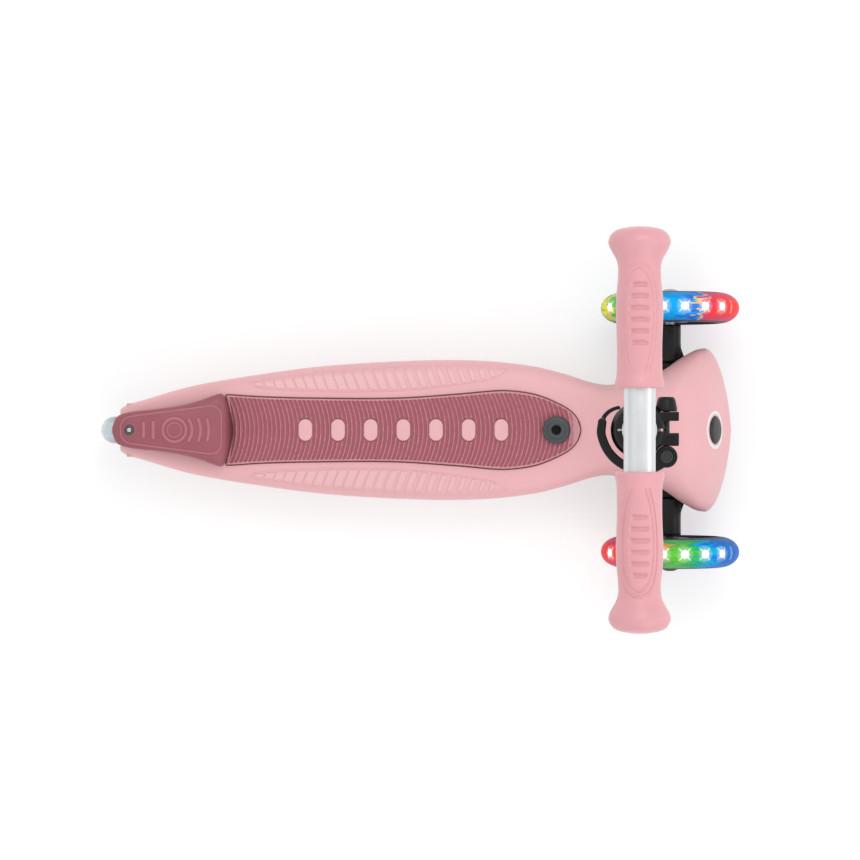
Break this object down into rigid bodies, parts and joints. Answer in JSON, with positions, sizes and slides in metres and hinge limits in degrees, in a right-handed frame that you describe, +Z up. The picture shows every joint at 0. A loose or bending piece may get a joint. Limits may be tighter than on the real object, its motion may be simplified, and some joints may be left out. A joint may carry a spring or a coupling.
{
  "type": "kick scooter",
  "caption": "Child's lean-to-steer kick scooter: ribbed mat on a moulded deck, light-up front wheels, rear wheel with pedal brake, telescoping T-bar with clamp.",
  "frame": {"origin": "on the ground, midway between the rear wheel's back and the front wheels' front, on the scooter's mid plane", "axes": "+X forward, +Y to the rider's left, +Z up"},
  "size_m": [0.5616, 0.28, 0.6764],
  "materials": {
    "deck_pink": "fine satin moulded texture",
    "mat_burgundy": "matt ribbed rubber",
    "brake_burgundy": "satin moulded",
    "grip_pink": "soft matt rubber",
    "black_plastic": "fine-grained black",
    "grey_plastic": "satin grey",
    "silver_tube": "fine anodised satin",
    "steel": "zinc plated",
    "led_white": "translucent white light carrier",
    "light_tyre": "translucent cast tyre with light-up colours",
    "rear_tyre": "translucent pale grey cast tyre",
    "wheel_white": "moulded white",
    "bushing_rubber": "pale elastomer",
    "magnet": "sintered magnet"
  },
  "bodies": {
    "deck": {"deck_body": "deck_pink", "deck_mat": "mat_burgundy", "seat_socket": "grey_plastic", "seat_socket_nut": "steel", "outer_tube": "silver_tube", "tube_bush": "black_plastic", "clamp_collar": "black_plastic", "clamp_bolt": "steel", "clamp_knob": "black_plastic", "clamp_lever_pin": "grey_plastic", "rear_axle_bolt": "steel", "rear_axle_nut": "steel", "rear_bearing_spacer": "steel", "brake_pivot_pin": "steel", "brake_spring": "steel", "kingpin": "steel", "kingpin_nut": "steel", "bushing_upper": "bushing_rubber", "bushing_lower": "bushing_rubber", "lock_button_spring": "steel"},
    "front_truck": {"front_truck": "black_plastic", "left_axle_bolt": "silver_tube", "right_axle_bolt": "silver_tube", "left_magnet_core": "magnet", "right_magnet_core": "magnet"},
    "left_wheel": {"left_tyre": "light_tyre", "left_led_ring": "led_white", "left_hub": "grey_plastic", "left_bearing_outer": "steel", "left_bearing_inner": "steel"},
    "right_wheel": {"right_tyre": "light_tyre", "right_led_ring": "led_white", "right_hub": "grey_plastic", "right_bearing_outer": "steel", "right_bearing_inner": "steel"},
    "rear_wheel": {"rear_tyre": "rear_tyre", "rear_hub": "wheel_white", "rear_bearing_left": "steel", "rear_bearing_right": "steel"},
    "brake": {"brake_pedal": "brake_burgundy", "brake_plate": "steel", "brake_plate_screw": "steel"},
    "lock_button": {"lock_button": "black_plastic"},
    "t_bar": {"t_bar": "silver_tube", "left_grip": "grip_pink", "right_grip": "grip_pink", "height_button_spring": "steel"},
    "height_button": {"height_button": "steel"},
    "clamp_lever": {"clamp_lever": "black_plastic"}
  },
  "joints": [
    {"name": "truck_steer", "type": "hinge", "parent": "deck", "child": "front_truck", "pos_m": [0.214, 0, 0.058], "axis": [0.4695, 0, 0.8829], "range_deg": [-12, 12], "stiffness_Nm_per_rad": 40, "deforming": ["bushing_upper", "bushing_lower"]},
    {"name": "left_wheel_spin", "type": "hinge", "parent": "front_truck", "child": "left_wheel", "pos_m": [0.22025, 0.1068, 0.0605], "axis": [0, 1, 0], "continuous": true},
    {"name": "right_wheel_spin", "type": "hinge", "parent": "front_truck", "child": "right_wheel", "pos_m": [0.22025, -0.1068, 0.0605], "axis": [0, 1, 0], "continuous": true},
    {"name": "rear_wheel_spin", "type": "hinge", "parent": "deck", "child": "rear_wheel", "pos_m": [-0.24075, 0, 0.04], "axis": [0, 1, 0], "continuous": true},
    {"name": "brake_press", "type": "hinge", "parent": "deck", "child": "brake", "pos_m": [-0.176, 0, 0.083], "axis": [0, -1, 0], "range_deg": [0, 4], "stiffness_Nm_per_rad": 4, "springref_deg": -3.44, "deforming": ["brake_spring"]},
    {"name": "steering_lock_press", "type": "slide", "parent": "deck", "child": "lock_button", "axis": [-0.8838, 0, -0.4679], "range_m": [0, 0.005], "stiffness_N_per_m": 400, "springref_m": -0.002, "deforming": ["lock_button_spring"]},
    {"name": "t_bar_height", "type": "slide", "parent": "deck", "child": "t_bar", "axis": [-0.0649, 0, 0.9979], "range_m": [0, 0.1]},
    {"name": "height_button_press", "type": "slide", "parent": "t_bar", "child": "height_button", "axis": [0.9979, 0, 0.0649], "range_m": [0, 0.0045], "stiffness_N_per_m": 600, "springref_m": -0.002, "deforming": ["height_button_spring"]},
    {"name": "clamp_lever_open", "type": "hinge", "parent": "deck", "child": "clamp_lever", "pos_m": [0.19163, -0.0205, 0.39969], "axis": [-0.0649, 0, 0.9979], "range_deg": [0, 130]}
  ]
}
